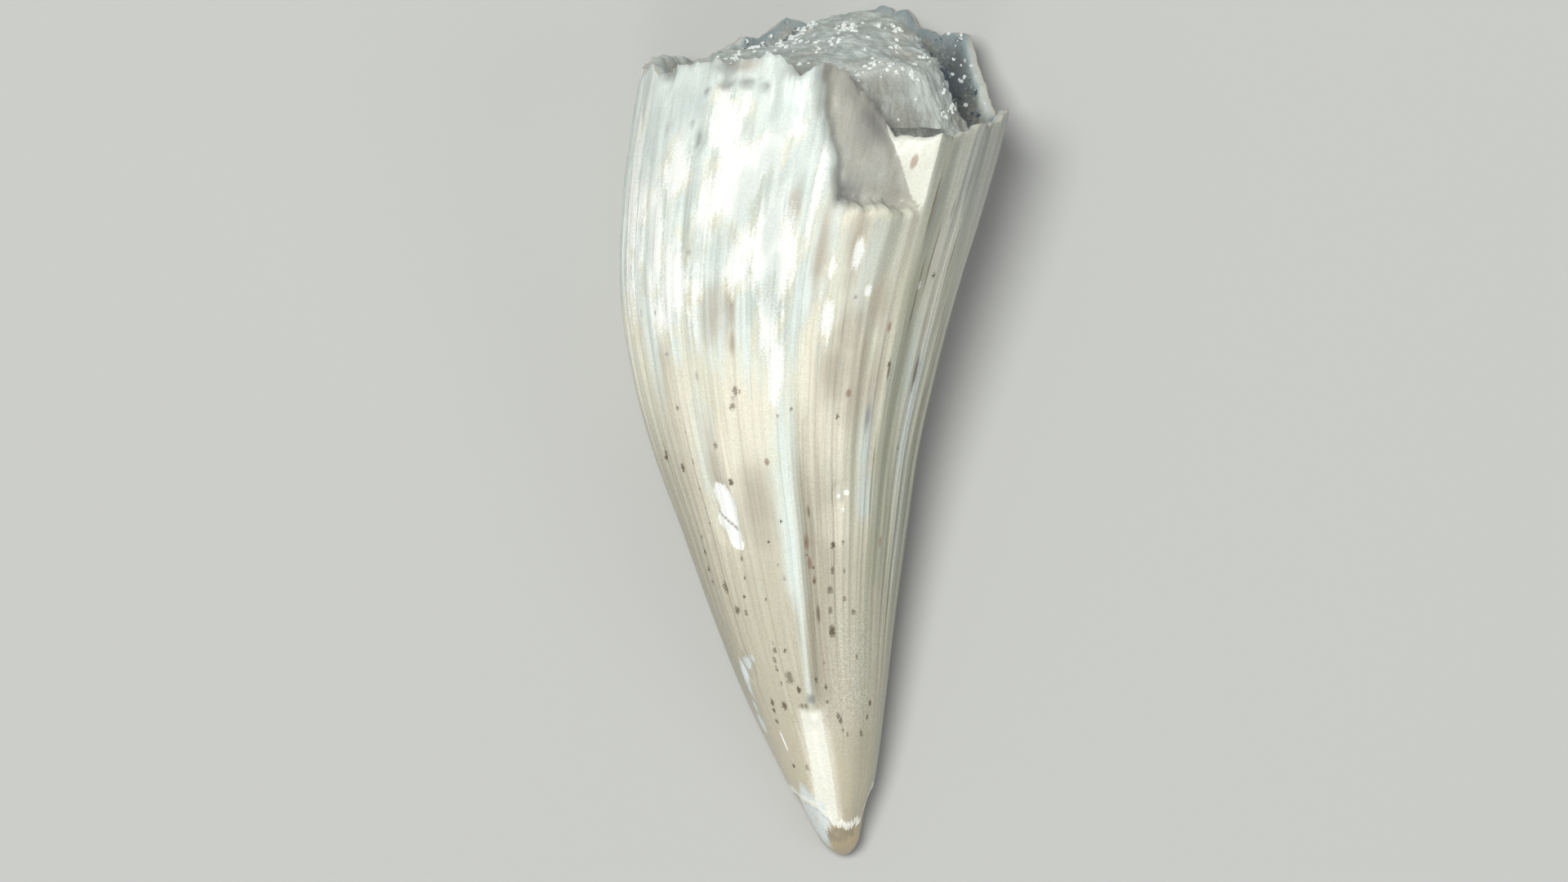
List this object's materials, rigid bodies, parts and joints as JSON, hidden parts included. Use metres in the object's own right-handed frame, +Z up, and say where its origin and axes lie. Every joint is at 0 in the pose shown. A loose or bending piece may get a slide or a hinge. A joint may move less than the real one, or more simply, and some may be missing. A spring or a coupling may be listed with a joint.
{
  "type": "fossil amphibian tooth",
  "caption": "Slender curved conical fossil tooth crown with lengthwise flutes, a keel, a worn tip and a broken base, lying on its side.",
  "frame": {"origin": "middle of the bounding box in X and Y, on the surface that the tooth rests on", "axes": "+Z up, +Y from the tip towards the broken base, +X across the tooth to the side that the tip leans to"},
  "size_m": [0.0032, 0.007, 0.0028],
  "materials": {
    "fossil_enamel": "satin, fine lengthwise striae, waxy and faintly translucent",
    "hard_fill": "rough grey mineral fill of the broken base, set with small white crystals"
  },
  "bodies": {
    "root": {"tooth": "fossil_enamel"}
  },
  "joints": []
}
